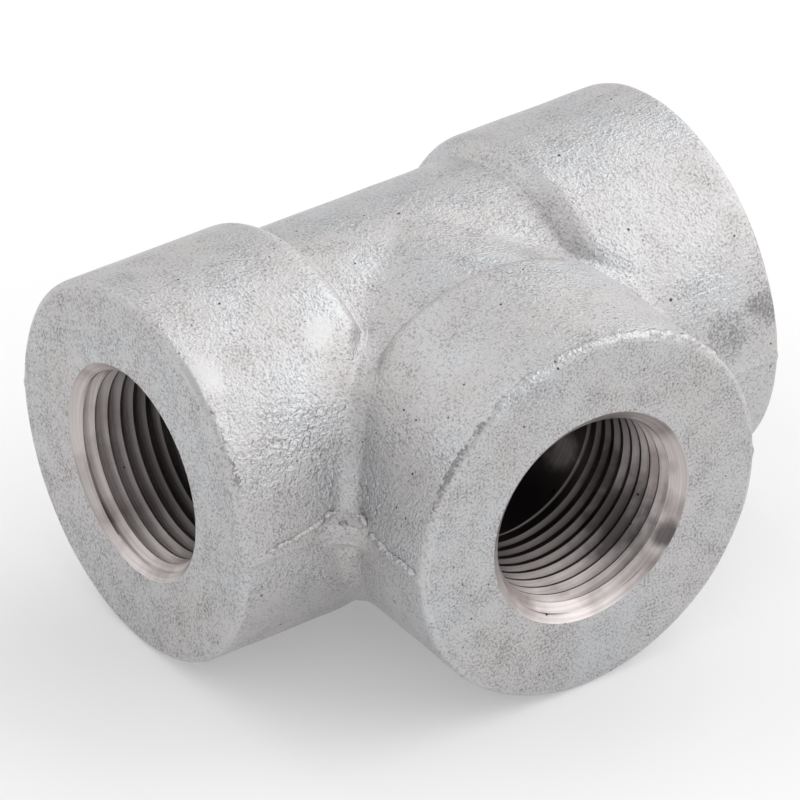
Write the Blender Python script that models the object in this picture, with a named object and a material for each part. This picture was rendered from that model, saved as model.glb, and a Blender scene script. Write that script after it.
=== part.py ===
"""A threaded equal tee for 3/4 inch pipe: one steel forging, bored and threaded at three ends.

The run lies along X, the branch points along -Y and Z is up. The tee lies flat on its three
bands, with the origin on the ground under the middle of its box. Lengths are in metres.
"""

import math
from typing import NamedTuple

import bmesh
import bpy
import numpy as np

MM = 0.001

# The forging
CENTRE_TO_END = 38.0 * MM
BAND_RADIUS = 23.5 * MM
NECK_DEPTH = 2.08 * MM
LEFT_BAND_LENGTH = 20.7 * MM
RIGHT_BAND_LENGTH = 20.0 * MM
BRANCH_BAND_LENGTH = 19.2 * MM
LEFT_SHOULDER_RADIUS = 3.0 * MM
RIGHT_SHOULDER_RADIUS = 4.0 * MM
BRANCH_SHOULDER_RADIUS = 2.4 * MM
SHOULDER_FOOT_RADIUS = 0.7 * MM
FACE_EDGE_RADIUS = 0.9 * MM
VALLEY_RADIUS = 2.2 * MM
NECK_VALLEY_RADIUS = 5.3 * MM
NECK_VALLEY_FROM = 13.0 * MM  # above the middle, where the valley's fillet begins to widen
NECK_VALLEY_TO = 18.0 * MM

# The flash line, where the two halves of the forging die met, and its web in the valleys
FLASH_HEIGHT = 0.25 * MM
FLASH_HALF_WIDTH = 0.9 * MM
WEB_RADIUS = 4.2 * MM
WEB_HALF_WIDTH = 2.6 * MM

# The bores: a chamfer, a drilled hole and a tapered pipe thread that runs out inside
CHAMFER_MOUTH_RADIUS = 13.7 * MM
CHAMFER_DEPTH = 1.5 * MM
DRILL_RADIUS = 11.9 * MM
DRILL_POINT_SLOPE = math.tan(math.radians(59.0))
PITCH = 25.4 / 14.0 * MM
THREAD_ROOT_RADIUS = 13.28 * MM
THREAD_DEPTH = 17.6 * MM
RUNOUT_TURNS = 3.0
LEAD_IN_TURNS = 2.0  # of the screw that cuts the thread, outside the face
LEFT_START_TURN = 0.25  # how far the left thread's groove starts beyond the other two
FLANK_SLOPE = math.tan(math.radians(60.0))
TAPER = 1.0 / 32.0  # of radius along the axis, which is 1 in 16 on the diameter

# How finely the shapes are divided
FRONT_RAILS = 12  # between the flash line and the crown, on each side of it
BACK_RAILS = 12
EDGE_STATIONS = 4  # along a rail, round the edge of its end face
INNER_STATIONS = 11  # along a rail, from the plain band in to the valley
BORE_SEGMENTS = 36
DENSE = 120  # points on a stretch of a rail before it is thinned to its stations
BISECTIONS = 26
CUTTER_OVERRUN = 2.0 * MM
BEND_WORTH = 12.0 * MM  # a radian of bend counts as this much length when stations are shared out
CROWN_LEVEL = 1e-6  # below this cosine, a rail runs over the crown and meets no valley
MERGE = 0.001 * MM


class Arm(NamedTuple):
    """One of the three arms: its band and the shoulder that falls from the band to the neck."""

    band_length: float
    shoulder_radius: float


NECK_RADIUS = BAND_RADIUS - NECK_DEPTH

LEFT = Arm(LEFT_BAND_LENGTH, LEFT_SHOULDER_RADIUS)
RIGHT = Arm(RIGHT_BAND_LENGTH, RIGHT_SHOULDER_RADIUS)
BRANCH = Arm(BRANCH_BAND_LENGTH, BRANCH_SHOULDER_RADIUS)


def clear_scene():
    for obj in list(bpy.data.objects):
        bpy.data.objects.remove(obj, do_unlink=True)


def make_material(name, colour, metallic, roughness):
    material = bpy.data.materials.new(name)
    material.use_nodes = True
    shader = material.node_tree.nodes["Principled BSDF"]
    shader.inputs["Base Color"].default_value = (*colour, 1.0)
    shader.inputs["Metallic"].default_value = metallic
    shader.inputs["Roughness"].default_value = roughness
    return material


def arc_drop(radius, along):
    """How far a round of this radius has fallen at a distance along from its top."""
    along = np.clip(along, 0.0, radius)
    return radius - np.sqrt(radius**2 - along**2)


def arm_radius(distance, arm):
    """Outer radius of an arm at each distance from the crossing of the axes."""
    band_start = CENTRE_TO_END - arm.band_length
    bend = math.acos(max(1.0 - NECK_DEPTH / (arm.shoulder_radius + SHOULDER_FOOT_RADIUS), 0.0))
    knee = band_start - arm.shoulder_radius * math.sin(bend)
    foot = knee - SHOULDER_FOOT_RADIUS * math.sin(bend)
    band = BAND_RADIUS - arc_drop(FACE_EDGE_RADIUS, distance - CENTRE_TO_END + FACE_EDGE_RADIUS)
    shoulder = BAND_RADIUS - arc_drop(arm.shoulder_radius, band_start - distance)
    neck = NECK_RADIUS + arc_drop(SHOULDER_FOOT_RADIUS, distance - foot)
    return np.where(distance > band_start, band, np.where(distance > knee, shoulder, neck))


def skin_gap(reach, distance, arm):
    """How far a point stands off the skin of one arm, as if the arm stood alone."""
    return reach - arm_radius(distance, arm)


def bump(z, half_width):
    return np.maximum(1.0 - np.abs(z) / half_width, 0.0)


def valley_fillet(z):
    """Radius of the fillet in the valleys: widest between the necks and where the web is."""
    share = np.clip((np.abs(z) - NECK_VALLEY_FROM) / (NECK_VALLEY_TO - NECK_VALLEY_FROM), 0.0, 1.0)
    necks = (NECK_VALLEY_RADIUS - VALLEY_RADIUS) * share * share * (3.0 - 2.0 * share)
    return VALLEY_RADIUS + necks + (WEB_RADIUS - VALLEY_RADIUS) * bump(z, WEB_HALF_WIDTH)


def forging_field(points):
    """Below zero in the steel and above it outside, with a rolling fillet in the valleys.

    The fillet shrinks as the two skins turn to face the same way, and is gone at the crown.
    """
    x, y, z = points[..., 0], points[..., 1], points[..., 2]
    flash = FLASH_HEIGHT * bump(z, FLASH_HALF_WIDTH)
    run_reach = np.hypot(y, z)
    branch_reach = np.hypot(x, z)
    left_gap = skin_gap(run_reach - flash, np.abs(x), LEFT)
    right_gap = skin_gap(run_reach - flash, np.abs(x), RIGHT)
    run = np.where(x < 0.0, left_gap, right_gap)
    branch = skin_gap(branch_reach - flash, np.abs(y), BRANCH)
    alike = z**2 / np.maximum(run_reach * branch_reach, MERGE**2)
    fillet = valley_fillet(z) * (1.0 - alike)
    both = np.maximum(fillet, np.minimum(run, branch))
    both = both - np.hypot(np.maximum(fillet - run, 0.0), np.maximum(fillet - branch, 0.0))
    return np.where(y < 0.0, both, run)


def reach_skin(origins, directions, low, high):
    """The points where rays from inside the steel meet its skin, between two reaches."""
    low = np.broadcast_to(low, origins.shape[:-1]).copy()
    high = np.broadcast_to(high, origins.shape[:-1]).copy()
    for _ in range(BISECTIONS):
        middle = (low + high) / 2.0
        inside = forging_field(origins + middle[..., None] * directions) < 0.0
        low = np.where(inside, middle, low)
        high = np.where(inside, high, middle)
    return origins + high[..., None] * directions


def thin_out(points, count):
    """A dense stretch of a rail cut down to a few stations, which gather where it bends."""
    steps = np.diff(points, axis=0)
    lengths = np.linalg.norm(steps, axis=1)
    ways = steps / lengths[:, None]
    bends = np.arccos(np.clip((ways[1:] * ways[:-1]).sum(axis=1), -1.0, 1.0))
    worth = lengths.copy()
    worth[1:] += BEND_WORTH * bends
    travelled = np.concatenate([[0.0], np.cumsum(worth)])
    wanted = np.linspace(0.0, travelled[-1], count)
    return np.stack([np.interp(wanted, travelled, points[:, axis]) for axis in range(3)], axis=1)


def valley_distance(angle, side):
    """How far from the centre the rail at this angle meets the valley beside the branch."""
    level = math.cos(angle)
    if level < CROWN_LEVEL:
        return 0.0
    ray = np.array([[side * level, -level, math.sin(angle)]])
    meets = reach_skin(np.zeros((1, 3)), ray, NECK_RADIUS - WEB_RADIUS, 2.0 * BAND_RADIUS)
    return abs(meets[0, 0])


def arm_rail(arm, angle, valley, along, away):
    """One rail of an arm, from its end face in to its valley or to the middle of the tee."""
    edge_end = CENTRE_TO_END - FACE_EDGE_RADIUS
    band_end = max(CENTRE_TO_END - arm.band_length, valley + max(VALLEY_RADIUS, WEB_RADIUS))
    quarter = np.linspace(math.pi / 2.0, 0.0, DENSE)
    edge = edge_end + FACE_EDGE_RADIUS * np.sin(quarter)
    stretches = (
        (edge, EDGE_STATIONS),
        (np.linspace(edge_end, band_end, 2), 2),
        (np.linspace(band_end, valley, DENSE), INNER_STATIONS),
    )
    rail = []
    for distance, count in stretches:
        highest = np.full(len(distance), 2.0 * BAND_RADIUS)
        if valley > 0.0:
            highest = np.minimum(highest, distance / math.cos(angle))
        origins = distance[:, None] * along
        directions = np.broadcast_to(away, origins.shape)
        points = reach_skin(origins, directions, NECK_RADIUS - WEB_RADIUS, highest)
        rail.extend(thin_out(points, count)[bool(rail):])
    return np.array(rail)


def front_angles():
    """Angles of the rails up one side of the front, close together across the flash line."""
    flash_edge = math.asin(FLASH_HALF_WIDTH / BAND_RADIUS)
    web_edge = math.asin(WEB_HALF_WIDTH / BAND_RADIUS)
    rest = np.linspace(web_edge, math.pi / 2.0, FRONT_RAILS)
    upper = np.concatenate([[0.0, flash_edge], rest])
    return np.concatenate([-upper[:0:-1], upper])


def back_angles():
    flash_edge = math.asin(FLASH_HALF_WIDTH / BAND_RADIUS)
    rest = np.linspace(flash_edge, math.pi / 2.0, BACK_RAILS)
    upper = np.concatenate([[0.0], rest])
    return np.concatenate([-upper[:0:-1], upper])


def add_sheet(mesh, rails):
    """Quads between neighbouring rails, which all have the same number of points."""
    rows = [[mesh.verts.new(point) for point in rail] for rail in rails]
    for lower, upper in zip(rows[:-1], rows[1:]):
        for near in range(len(lower) - 1):
            mesh.faces.new((lower[near], lower[near + 1], upper[near + 1], upper[near]))


def build_forging(material):
    """The outer skin as a loft of rails, closed by its three flat end faces."""
    mesh = bmesh.new()
    for arm, side in ((LEFT, -1.0), (RIGHT, 1.0)):
        along = np.array([side, 0.0, 0.0])
        front = []
        for angle in front_angles():
            level, height = math.cos(angle), math.sin(angle)
            valley = valley_distance(angle, side)
            run = arm_rail(arm, angle, valley, along, np.array([0.0, -level, height]))
            outward = np.array([0.0, -1.0, 0.0])
            branch = arm_rail(BRANCH, angle, valley, outward, np.array([side * level, 0.0, height]))
            front.append(np.concatenate([run, branch[-2::-1]]))
        add_sheet(mesh, front)
        back = []
        for angle in back_angles():
            away = np.array([0.0, math.cos(angle), math.sin(angle)])
            back.append(arm_rail(arm, angle, 0.0, along, away))
        add_sheet(mesh, back)
    bmesh.ops.remove_doubles(mesh, verts=mesh.verts, dist=MERGE)
    open_edges = [edge for edge in mesh.edges if edge.is_boundary]
    bmesh.ops.holes_fill(mesh, edges=open_edges, sides=0)
    bmesh.ops.recalc_face_normals(mesh, faces=mesh.faces)
    return finish_object("tee_body", mesh, material)


def finish_object(name, mesh, material):
    data = bpy.data.meshes.new(name)
    mesh.to_mesh(data)
    mesh.free()
    data.materials.append(material)
    obj = bpy.data.objects.new(name, data)
    bpy.context.scene.collection.objects.link(obj)
    return obj


def finish_cutter(name, mesh, material):
    """A closed mesh as an object that only cuts and isn't part of the tee."""
    bmesh.ops.recalc_face_normals(mesh, faces=mesh.faces)
    cutter = finish_object(name, mesh, material)
    cutter.hide_render = True
    cutter.display_type = "WIRE"
    return cutter


def bore_half_profile():
    """Distance from the centre and radius of a bore, from outside its face in to the drilled hole."""
    chamfer_slope = (CHAMFER_MOUTH_RADIUS - DRILL_RADIUS) / CHAMFER_DEPTH
    outside = CENTRE_TO_END + CUTTER_OVERRUN
    return [
        (outside, 0.0),
        (outside, CHAMFER_MOUTH_RADIUS + CUTTER_OVERRUN * chamfer_slope),
        (CENTRE_TO_END - CHAMFER_DEPTH, DRILL_RADIUS),
    ]


def turn_cutter(name, profile, axis, material):
    """A cutter turned about an axis from a profile of (distance along it, radius)."""
    mesh = bmesh.new()
    along = np.array(axis)
    away = np.array((0.0, 0.0, 1.0))
    points = [mesh.verts.new(distance * along + radius * away) for distance, radius in profile]
    edges = [mesh.edges.new(pair) for pair in zip(points[:-1], points[1:])]
    bmesh.ops.spin(
        mesh,
        geom=points + edges,
        cent=(0.0, 0.0, 0.0),
        axis=axis,
        angle=2.0 * math.pi,
        steps=BORE_SEGMENTS,
        use_merge=True,
    )
    bmesh.ops.remove_doubles(mesh, verts=mesh.verts, dist=MERGE)
    return finish_cutter(name, mesh, material)


def thread_radius(depth, on_ridge):
    """Radius of the screw that cuts the thread, on its ridge or in the groove between two turns."""
    full = THREAD_ROOT_RADIUS - TAPER * depth
    runout_slope = (THREAD_ROOT_RADIUS - DRILL_RADIUS) / (RUNOUT_TURNS * PITCH)
    ridge = min(full, DRILL_RADIUS + (THREAD_DEPTH - depth) * runout_slope)
    return ridge if on_ridge else ridge - FLANK_SLOPE * PITCH / 2.0


def screw_cutter(name, outward, start_turn, material):
    """A right-handed tapered screw that fills the thread of one arm.

    Its rows are ridge and groove by turns. They climb by one pitch in a turn, so that the last
    column meets the first one two rows further on.
    """
    inward = -np.array(outward)
    up = np.array([0.0, 0.0, 1.0])
    across = np.cross(inward, up)
    face = CENTRE_TO_END * np.array(outward)
    rows = 2 * math.ceil(THREAD_DEPTH / PITCH + LEAD_IN_TURNS)
    mesh = bmesh.new()

    def place(row, column):
        depth = (row / 2.0 + column / BORE_SEGMENTS + start_turn - LEAD_IN_TURNS) * PITCH
        angle = 2.0 * math.pi * column / BORE_SEGMENTS
        away = math.cos(angle) * up + math.sin(angle) * across
        return mesh.verts.new(face + depth * inward + thread_radius(depth, row % 2 == 0) * away)

    columns = [[place(row, 0) for row in range(rows + 3)]]
    columns += [[place(row, column) for row in range(rows + 1)] for column in range(1, BORE_SEGMENTS)]
    columns.append(columns[0][2:])
    for near, far in zip(columns[:-1], columns[1:]):
        for row in range(rows):
            mesh.faces.new((near[row], near[row + 1], far[row + 1], far[row]))
    start = [column[0] for column in columns] + [columns[0][1]]
    end = [column[rows] for column in columns] + [columns[0][rows + 1]]
    for loop in (start, end):
        depth = np.mean([(np.array(point.co) - face) @ inward for point in loop])
        middle = mesh.verts.new(face + depth * inward)
        for here, there in zip(loop, loop[1:] + loop[:1]):
            mesh.faces.new((here, there, middle))
    return finish_cutter(name, mesh, material)


def cut(target, cutter):
    modifier = target.modifiers.new(cutter.name, "BOOLEAN")
    modifier.operation = "DIFFERENCE"
    modifier.solver = "EXACT"
    modifier.material_mode = "TRANSFER"
    modifier.object = cutter
    cutter.parent = target


def build_tee():
    galvanised = make_material("galvanised_steel", (0.55, 0.55, 0.56), 0.9, 0.42)
    machined = make_material("machined_steel", (0.33, 0.29, 0.28), 1.0, 0.3)
    body = build_forging(galvanised)
    half = bore_half_profile()
    run_profile = half + [(-distance, radius) for distance, radius in reversed(half)]
    point_depth = DRILL_RADIUS / DRILL_POINT_SLOPE
    branch_profile = half + [(0.0, DRILL_RADIUS), (-point_depth, 0.0)]
    cut(body, turn_cutter("run_bore", run_profile, (1.0, 0.0, 0.0), machined))
    cut(body, turn_cutter("branch_bore", branch_profile, (0.0, -1.0, 0.0), machined))
    cut(body, screw_cutter("left_thread", (-1.0, 0.0, 0.0), LEFT_START_TURN, machined))
    cut(body, screw_cutter("right_thread", (1.0, 0.0, 0.0), 0.0, machined))
    cut(body, screw_cutter("branch_thread", (0.0, -1.0, 0.0), 0.0, machined))
    body.data.shade_smooth()
    body.data.set_sharp_from_angle(angle=math.radians(35.0))
    back = BAND_RADIUS + FLASH_HEIGHT
    body.location = (0.0, (CENTRE_TO_END - back) / 2.0, BAND_RADIUS)
    return body


clear_scene()
build_tee()
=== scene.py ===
"""The looks of a threaded equal tee: a hot-dip galvanised steel forging with bare machined bores.

The part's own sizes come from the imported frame. Everything here is in metres in that frame: the
run lies along X, the branch points along -Y, Z is up, and the tee lies on its three bands.
"""

import logging
import math
from dataclasses import dataclass, field
from enum import Enum
from functools import partial
from typing import Any

import bmesh
import bpy
import numpy as np
from mathutils import Matrix, Vector, noise


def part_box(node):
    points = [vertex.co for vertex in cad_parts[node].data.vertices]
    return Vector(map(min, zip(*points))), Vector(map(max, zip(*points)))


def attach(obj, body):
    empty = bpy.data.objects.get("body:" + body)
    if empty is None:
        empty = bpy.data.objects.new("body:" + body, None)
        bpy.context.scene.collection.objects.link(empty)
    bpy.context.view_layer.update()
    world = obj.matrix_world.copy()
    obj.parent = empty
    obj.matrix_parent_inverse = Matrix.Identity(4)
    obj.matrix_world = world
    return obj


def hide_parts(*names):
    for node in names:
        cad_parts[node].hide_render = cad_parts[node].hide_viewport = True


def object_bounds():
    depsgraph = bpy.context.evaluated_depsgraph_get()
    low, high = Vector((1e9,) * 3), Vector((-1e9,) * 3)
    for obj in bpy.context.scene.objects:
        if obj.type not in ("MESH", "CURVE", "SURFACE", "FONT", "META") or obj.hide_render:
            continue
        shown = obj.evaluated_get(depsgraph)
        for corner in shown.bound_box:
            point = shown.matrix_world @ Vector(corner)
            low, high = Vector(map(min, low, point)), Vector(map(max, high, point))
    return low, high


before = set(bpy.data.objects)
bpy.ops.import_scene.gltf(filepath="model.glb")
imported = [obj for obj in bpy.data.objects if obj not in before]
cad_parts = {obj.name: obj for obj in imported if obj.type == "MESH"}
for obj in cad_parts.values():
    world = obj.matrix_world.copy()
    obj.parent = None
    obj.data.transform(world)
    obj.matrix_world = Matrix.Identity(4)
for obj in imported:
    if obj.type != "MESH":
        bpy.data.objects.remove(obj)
CAD_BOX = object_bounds()

NODE = "tee_body"
BODY = "root"
MM = 0.001
SENSOR_MM = 36.0
MERGE = 0.001 * MM
UP = np.array([0.0, 0.0, 1.0])
# The sockets of a Mix node that take and give colours.
MIX_A, MIX_B, MIXED = 6, 7, 2

Array = np.ndarray
Mesh = bmesh.types.BMesh
Object = bpy.types.Object
Socket = bpy.types.NodeSocket
Tree = bpy.types.NodeTree

log = logging.getLogger("tee")


class Side(Enum):
    """The two ends of the run, as signs along X."""

    LEFT = -1.0
    RIGHT = 1.0


class Surface(Enum):
    """The finishes on the tee, as the material slots of its mesh."""

    SKIN = 0
    END_FACE = 1
    RUN_BORE = 2
    BRANCH_BORE = 3


def linear(hex_colour: str) -> tuple[float, float, float, float]:
    """Turns an sRGB hex colour into the linear colour that a shader takes.

    Args:
        hex_colour: six hex digits after a hash.

    Returns:
        Linear red, green, blue and an alpha of one.
    """
    values = [int(hex_colour[start : start + 2], 16) / 255.0 for start in (1, 3, 5)]
    red, green, blue = (v / 12.92 if v <= 0.04045 else ((v + 0.055) / 1.055) ** 2.4 for v in values)
    return (red, green, blue, 1.0)


def add_node(
    tree: Tree,
    kind: str,
    inputs: dict[str | int, Any] | None = None,
    output: str | int = 0,
    **settings: str | bool,
) -> Socket:
    """Adds one node to a shader tree with its settings, values and links.

    Args:
        tree: the tree that gets the node.
        kind: the node's type, without the ShaderNode before it.
        inputs: what goes into each input, a value or another node's output.
        output: which of its outputs to hand back.
        settings: properties of the node.

    Returns:
        The node's output.
    """
    node = tree.nodes.new(f"ShaderNode{kind}")
    for name, value in settings.items():
        setattr(node, name, value)
    for name, value in (inputs or {}).items():
        if isinstance(value, Socket):
            tree.links.new(value, node.inputs[name])
        else:
            node.inputs[name].default_value = value
    return node.outputs[output]


def start_material(name: str) -> tuple[bpy.types.Material, Tree, Socket]:
    """Makes a material for a surface that has a pattern of a real size.

    Args:
        name: the material's name.

    Returns:
        The material, its tree, and the place on the surface in millimetres in the frame.
    """
    material = bpy.data.materials.new(name)
    material.use_nodes = True
    tree = material.node_tree
    place = add_node(tree, "TexCoord", output="Object")
    in_mm = add_node(tree, "VectorMath", {0: place, "Scale": 1.0 / MM}, operation="SCALE")
    return material, tree, in_mm


def finish_material(
    tree: Tree, metallic: float, colour: Socket, roughness: Socket, normal: Socket
) -> None:
    """Gives a material's shader what its pattern comes to.

    Args:
        tree: the material's tree.
        metallic: how much of the surface is bare metal.
        colour: its colour.
        roughness: its roughness.
        normal: its normal.
    """
    shader = tree.nodes["Principled BSDF"].inputs
    shader["Metallic"].default_value = metallic
    tree.links.new(colour, shader["Base Color"])
    tree.links.new(roughness, shader["Roughness"])
    tree.links.new(normal, shader["Normal"])


def add_object(name: str, data: bpy.types.ID) -> Object:
    """Puts a mesh, a lamp or a camera into the scene.

    Args:
        name: the object's name.
        data: the mesh, lamp or camera.

    Returns:
        The object.
    """
    thing = bpy.data.objects.new(name, data)
    bpy.context.scene.collection.objects.link(thing)
    return thing


def finish_mesh(name: str, mesh: Mesh) -> Object:
    """Turns a mesh that was being edited into an object, and frees it.

    Args:
        name: the name of the object and of its mesh.
        mesh: the mesh.

    Returns:
        The object.
    """
    data = bpy.data.meshes.new(name)
    mesh.to_mesh(data)
    mesh.free()
    return add_object(name, data)


def direction(azimuth: float, elevation: float) -> Vector:
    """The way from the tee to a place round it.

    Args:
        azimuth: degrees round Z from straight in front of the branch.
        elevation: degrees above the floor.

    Returns:
        A vector of length one.
    """
    turn, rise = math.radians(azimuth), math.radians(elevation)
    level = math.cos(rise)
    return Vector((math.sin(turn) * level, -math.cos(turn) * level, math.sin(rise)))


def smooth_step(value: Array, low: float, high: float) -> Array:
    """Rises smoothly from one value to another.

    Args:
        value: the values.
        low: where it starts to rise.
        high: where it ends.

    Returns:
        Zero up to low, one from high on.
    """
    share = np.clip((value - low) / (high - low), 0.0, 1.0)
    return share * share * (3.0 - 2.0 * share)


def arc_drop(radius: float, along: Array) -> Array:
    """How far a rounding falls.

    Args:
        radius: its radius.
        along: distances from its top.

    Returns:
        The fall at each distance.
    """
    along = np.clip(along, 0.0, radius)
    return radius - np.sqrt(radius**2 - along**2)


def thin_out(points: Array, count: int, bend_worth: float) -> Array:
    """Cuts a dense line of points down to a few, which gather where it bends.

    Args:
        points: the dense line, one row to a point.
        count: how many points to keep.
        bend_worth: the length that a radian of bend counts as.

    Returns:
        The points that are left, both ends among them.
    """
    steps = np.diff(points, axis=0)
    lengths = np.linalg.norm(steps, axis=1)
    ways = steps / lengths[:, None]
    bends = np.arccos(np.clip((ways[1:] * ways[:-1]).sum(axis=1), -1.0, 1.0))
    worth = lengths.copy()
    worth[1:] += bend_worth * bends
    travelled = np.concatenate([[0.0], np.cumsum(worth)])
    wanted = np.linspace(0.0, travelled[-1], count)
    return np.stack([np.interp(wanted, travelled, points[:, axis]) for axis in range(3)], axis=1)


def add_sheet(mesh: Mesh, lines: list[Array], surface: Surface) -> None:
    """Fills quads between neighbouring lines, which all have the same number of points.

    Args:
        mesh: the mesh that gets the quads.
        lines: the lines of points, in order.
        surface: the finish of the quads.
    """
    rows = [[mesh.verts.new(point) for point in line] for line in lines]
    for near, far in zip(rows[:-1], rows[1:]):
        for here in range(len(near) - 1):
            corners = (near[here], near[here + 1], far[here + 1], far[here])
            mesh.faces.new(corners).material_index = surface.value


@dataclass(frozen=True)
class ThreadedBore:
    """A chamfered, drilled hole with a right-handed tapered pipe thread that runs out inside.

    Attributes:
        mouth_radius: radius of the chamfer at the face.
        chamfer_depth: depth at which the chamfer reaches the drilled hole.
        drill_radius: radius of the drilled hole.
        pitch: length of one turn.
        root_radius: radius of the groove's bottom at the face.
        root_flat: how much of the groove's point is blunt.
        flank_slope: rise of the groove's flanks. The real ones rise by 1.73, and these are flatter
            because the photo shows them light over nearly their whole width.
        thread_depth: depth at which the thread has run out.
        runout_turns: turns over which it grows shallow.
        taper: fall of the radius for each unit of depth, 1 in 16 on the diameter.
        first_turn: depth of the first groove at the top of the bore, in turns.
        flank_shares: where the rows across a groove lie, as shares of half its width.
        columns: divisions round the bore.
        plain_stations: divisions of the plain hole beyond the thread.
    """

    mouth_radius: float = 13.7 * MM
    chamfer_depth: float = 1.5 * MM
    drill_radius: float = 11.9 * MM
    pitch: float = 25.4 / 14.0 * MM
    root_radius: float = 12.95 * MM
    root_flat: float = 0.02 * MM
    flank_slope: float = 1.15
    thread_depth: float = 17.6 * MM
    runout_turns: float = 1.2
    taper: float = 1.0 / 32.0
    first_turn: float = 0.0
    flank_shares: tuple[float, ...] = (-1.0, -0.7, -0.4, -0.1, 0.0, 0.1, 0.4, 0.7, 1.0)
    columns: int = 96
    plain_stations: int = 7

    def root(self, depth: Array) -> Array:
        """Radius of the groove's bottom, which comes down to the drilled hole.

        Args:
            depth: distance in from the face.

        Returns:
            The radius at each depth.
        """
        runout_slope = (self.root_radius - self.drill_radius) / (self.runout_turns * self.pitch)
        running_out = self.drill_radius + (self.thread_depth - depth) * runout_slope
        tapered = self.root_radius - self.taper * depth
        return np.maximum(np.minimum(tapered, running_out), self.drill_radius)

    def radius(self, depth: Array, offset: Array) -> Array:
        """Radius of the bore's wall.

        Args:
            depth: distance in from the face.
            offset: distance along the axis from the bottom of the nearest groove.

        Returns:
            The radius at each place.
        """
        bottom = self.root(depth - offset)
        groove = np.minimum(bottom - self.flank_slope * np.abs(offset), bottom - self.root_flat)
        chamfer_slope = (self.mouth_radius - self.drill_radius) / self.chamfer_depth
        chamfer = self.mouth_radius - chamfer_slope * depth
        return np.maximum(np.maximum(groove, chamfer), self.drill_radius)

    def column(self, angle: float) -> tuple[Array, Array]:
        """Depths and radii down one column of the bore, from the face to the end of the thread.

        Args:
            angle: how far round the bore the column is, in turns.

        Returns:
            The depths and the radii, with rows along the crests, flanks and bottoms.
        """
        turns = np.arange(-2, math.ceil(self.thread_depth / self.pitch) + 2)
        bottoms = (turns + angle + self.first_turn) * self.pitch
        half = (self.root(bottoms) - self.drill_radius) / self.flank_slope
        # A groove that is wider than its turn would run into the next one.
        half = np.minimum(half, 0.49 * self.pitch)
        offsets = [np.full(len(turns), -self.pitch / 2.0)]
        offsets += [share * half for share in self.flank_shares]
        offset = np.stack(offsets, axis=1)
        depth = np.clip(bottoms[:, None] + offset, 0.0, self.thread_depth)
        offset = depth - bottoms[:, None]
        return depth.ravel(), self.radius(depth, offset).ravel()

    def lines(self, outward: Array, centre_to_end: float, both_sides: bool) -> list[Array]:
        """The columns of the bore, from its mouth in to the mitre with the other bores.

        Args:
            outward: the way from the crossing of the axes to the bore's mouth.
            centre_to_end: from the crossing of the axes to the bore's mouth.
            both_sides: whether it meets other bores on both of its sides, or on one.

        Returns:
            One line of points to each column, the first one again at the end.
        """
        across = np.cross(-outward, UP)
        columns = []
        for count in range(self.columns + 1):
            turn = count / self.columns
            sine = math.sin(2.0 * math.pi * turn)
            away = math.cos(2.0 * math.pi * turn) * UP + sine * across
            depth, radius = self.column(turn)
            facing = abs(sine) if both_sides else max(-away[1], 0.0)
            thread_end = centre_to_end - self.thread_depth
            plain = np.linspace(thread_end, self.drill_radius * facing, self.plain_stations)
            distance = np.concatenate([centre_to_end - depth, plain[1:]])
            radius = np.concatenate([radius, np.full(len(plain) - 1, self.drill_radius)])
            columns.append(distance[:, None] * outward + radius[:, None] * away)
        return columns


@dataclass(frozen=True)
class ArmShape:
    """One arm of the forging: where it points, its band and the shoulder down to its neck.

    Attributes:
        outward: the way from the crossing of the axes to the arm's end face.
        band_length: length of the thick band at the end.
        shoulder_radius: rounding at the top of the shoulder.
        bore: the arm's bore.
        bore_finish: the finish of the bore.
    """

    outward: tuple[float, float, float]
    band_length: float
    shoulder_radius: float
    bore: ThreadedBore
    bore_finish: Surface


Arms = dict[Side | None, ArmShape]


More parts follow.
